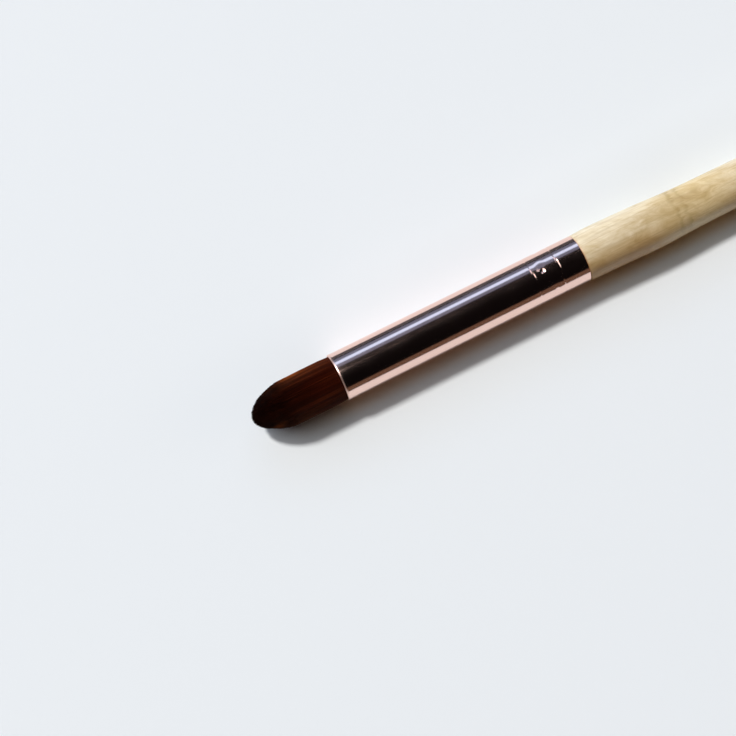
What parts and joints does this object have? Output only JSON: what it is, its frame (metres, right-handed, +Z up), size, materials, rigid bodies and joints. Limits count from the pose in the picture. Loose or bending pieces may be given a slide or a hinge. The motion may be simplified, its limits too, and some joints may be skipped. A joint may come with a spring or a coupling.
{
  "type": "concealer brush",
  "caption": "Concealer brush with a turned bamboo handle, a crimped rose gold ferrule and a dense domed tuft of brown filament.",
  "frame": {"origin": "on the surface that the brush lies on, under the middle of its length", "axes": "+X along the brush from tuft to butt, +Z up as it lies on a table, +Y across it"},
  "size_m": [0.1636, 0.0082, 0.0082],
  "materials": {
    "filament": "fine glossy dark brown filament, amber where the light passes through it and near black at the tip",
    "thread": "undyed twisted polyester thread",
    "resin": "cured amber resin",
    "rose_gold": "drawn tube polished to a mirror and coated rose gold",
    "wood_glue": "cured cream wood glue",
    "bamboo": "turned bamboo with fine straight grain under a thin satin lacquer"
  },
  "bodies": {
    "root": {"bristle_tuft": "filament", "binding_thread": "thread", "root_glue": "resin", "ferrule": "rose_gold", "handle_glue": "wood_glue", "handle": "bamboo"}
  },
  "joints": []
}
